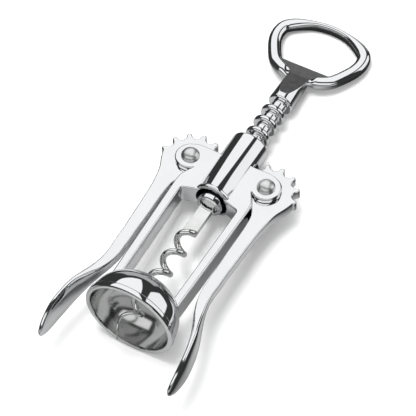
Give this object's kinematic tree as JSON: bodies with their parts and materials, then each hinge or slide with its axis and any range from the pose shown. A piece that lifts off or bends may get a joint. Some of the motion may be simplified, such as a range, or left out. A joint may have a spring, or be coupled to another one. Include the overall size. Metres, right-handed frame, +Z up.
{
  "type": "lever corkscrew",
  "caption": "Double-lever corkscrew: bell and open frame, two toothed levers geared to a ringed spindle with a worm, and a loop handle that also opens caps.",
  "frame": {"origin": "bottom centre of the bounding box, on the floor the tool lies on", "axes": "+Y towards the opener handle, +X across the levers, +Z up out of the front face; the tool is tipped back a few degrees onto the bell's rim and the handle's far edge"},
  "size_m": [0.0672, 0.2054, 0.042],
  "materials": {
    "cast_chrome": "polished chrome plate on die cast metal",
    "rivet_chrome": "polished chrome plate on turned steel",
    "spindle_chrome": "polished chrome plate on a turned or cast spindle",
    "handle_chrome": "polished bead with a satin web",
    "worm_steel": "bright plated steel wire",
    "bright_steel": "bright steel"
  },
  "bodies": {
    "frame_body": {"frame": "cast_chrome", "bell": "cast_chrome", "pivot_rivet_right": "rivet_chrome", "pivot_rivet_left": "rivet_chrome"},
    "right_lever_body": {"lever_right": "cast_chrome"},
    "left_lever_body": {"lever_left": "cast_chrome"},
    "collar_body": {"stop_collar": "bright_steel"},
    "spindle_body": {"rack_spindle": "spindle_chrome", "opener_handle": "handle_chrome", "worm": "worm_steel", "worm_pin": "bright_steel"}
  },
  "joints": [
    {"name": "rack_slide", "type": "slide", "parent": "frame_body", "child": "collar_body", "axis": [0, -0.995, 0.0995], "range_m": [0, 0.0224]},
    {"name": "right_lever_swing", "type": "hinge", "parent": "frame_body", "child": "right_lever_body", "pos_m": [0.0189, 0.00346, 0.01268], "axis": [0, 0.0995, 0.995], "range_deg": [0, 90]},
    {"name": "left_lever_swing", "type": "hinge", "parent": "frame_body", "child": "left_lever_body", "pos_m": [-0.0189, 0.00346, 0.01268], "axis": [0, -0.0995, -0.995], "range_deg": [0, 90]},
    {"name": "handle_turn", "type": "hinge", "parent": "collar_body", "child": "spindle_body", "pos_m": [0, 0.00346, 0.01268], "axis": [0, 0.995, -0.0995], "continuous": true}
  ],
  "couplings": [
    {"joint": "right_lever_swing", "follows": "rack_slide", "rad_per_m": 70.059},
    {"joint": "left_lever_swing", "follows": "rack_slide", "rad_per_m": 70.059}
  ]
}
